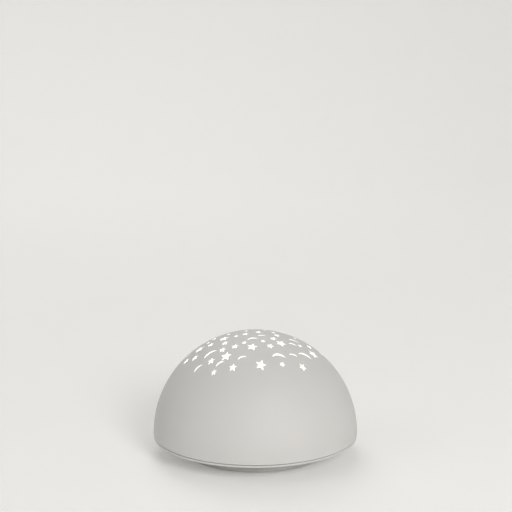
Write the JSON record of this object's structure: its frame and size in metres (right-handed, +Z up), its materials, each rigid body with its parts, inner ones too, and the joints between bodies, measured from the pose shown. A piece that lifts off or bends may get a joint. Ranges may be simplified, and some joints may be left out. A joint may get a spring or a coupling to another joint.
{
  "type": "star night light projector",
  "caption": "Half-ball night light on a recessed foot; lamps inside shine through star and crescent cut-outs, with push buttons at the back and a battery door underneath.",
  "frame": {"origin": "on the table, under the middle of the dome", "axes": "+Z up along the dome's axis, -Y to the front, +Y to the push buttons at the back, +X to the right"},
  "size_m": [0.135, 0.135, 0.0807],
  "materials": {
    "shell_plastic": "fine matte moulded ABS",
    "base_plastic": "fine matte moulded ABS",
    "button_plastic": "satin moulded ABS",
    "window_plastic": "clear polished polystyrene",
    "circuit_board": "green solder mask on glass laminate",
    "green_lamp": "clear tinted epoxy",
    "red_lamp": "clear tinted epoxy",
    "blue_lamp": "clear tinted epoxy",
    "chip_plastic": "matte moulded epoxy",
    "resistor_ceramic": "matte ceramic",
    "capacitor_sleeve": "shrunk sleeve on an aluminium can",
    "header_nylon": "moulded nylon",
    "plunger_plastic": "moulded acetal",
    "nickel_plate": "nickel-plated spring steel",
    "zinc_screw": "zinc-plated steel",
    "cell_jacket": "plain printed sleeve on a steel can",
    "foot_rubber": "matte silicone rubber",
    "red_insulation": "extruded PVC",
    "black_insulation": "extruded PVC",
    "white_insulation": "extruded PVC"
  },
  "bodies": {
    "housing": {"base_housing": "base_plastic", "battery_1": "cell_jacket", "battery_2": "cell_jacket", "battery_3": "cell_jacket", "battery_spring_1": "nickel_plate", "battery_spring_2": "nickel_plate", "battery_spring_3": "nickel_plate", "battery_wire_black": "black_insulation", "battery_wire_red": "red_insulation", "board_capacitor": "capacitor_sleeve", "board_resistors": "resistor_ceramic", "button_board": "circuit_board", "button_board_screws": "zinc_screw", "button_wires": "white_insulation", "colour_switch_case": "chip_plastic", "control_chip": "chip_plastic", "dome_shell": "shell_plastic", "housing_screws": "zinc_screw", "led_blue_1": "blue_lamp", "led_blue_2": "blue_lamp", "led_board": "circuit_board", "led_board_screws": "zinc_screw", "led_green_1": "green_lamp", "led_green_2": "green_lamp", "led_red_1": "red_lamp", "led_red_2": "red_lamp", "left_link_contact": "nickel_plate", "negative_contact": "nickel_plate", "positive_contact": "nickel_plate", "power_switch_case": "chip_plastic", "right_link_contact": "nickel_plate", "rubber_foot_1": "foot_rubber", "rubber_foot_2": "foot_rubber", "rubber_foot_3": "foot_rubber", "rubber_foot_4": "foot_rubber", "star_window": "window_plastic", "wire_header": "header_nylon"},
    "power_button": {"power_button": "button_plastic", "power_switch_plunger": "plunger_plastic"},
    "colour_button": {"colour_button": "button_plastic", "colour_switch_plunger": "plunger_plastic"},
    "battery_door": {"battery_door": "base_plastic"},
    "door_screw": {"door_screw": "zinc_screw", "door_screw_washer": "zinc_screw"}
  },
  "joints": [
    {"name": "power_button_press", "type": "slide", "parent": "housing", "child": "power_button", "axis": [0, -1, 0], "range_m": [0, 0.0008], "stiffness_N_per_m": 1500},
    {"name": "colour_button_press", "type": "slide", "parent": "housing", "child": "colour_button", "axis": [0, -1, 0], "range_m": [0, 0.0008], "stiffness_N_per_m": 1500},
    {"name": "battery_door_hinge", "type": "hinge", "parent": "housing", "child": "battery_door", "pos_m": [0, -0.0222, 0.0028], "axis": [-1, 0, 0], "range_deg": [0, 45]},
    {"name": "door_screw_turn", "type": "hinge", "parent": "battery_door", "child": "door_screw", "pos_m": [0, 0.03105, 0.0028], "axis": [0, 0, -1], "continuous": true}
  ]
}
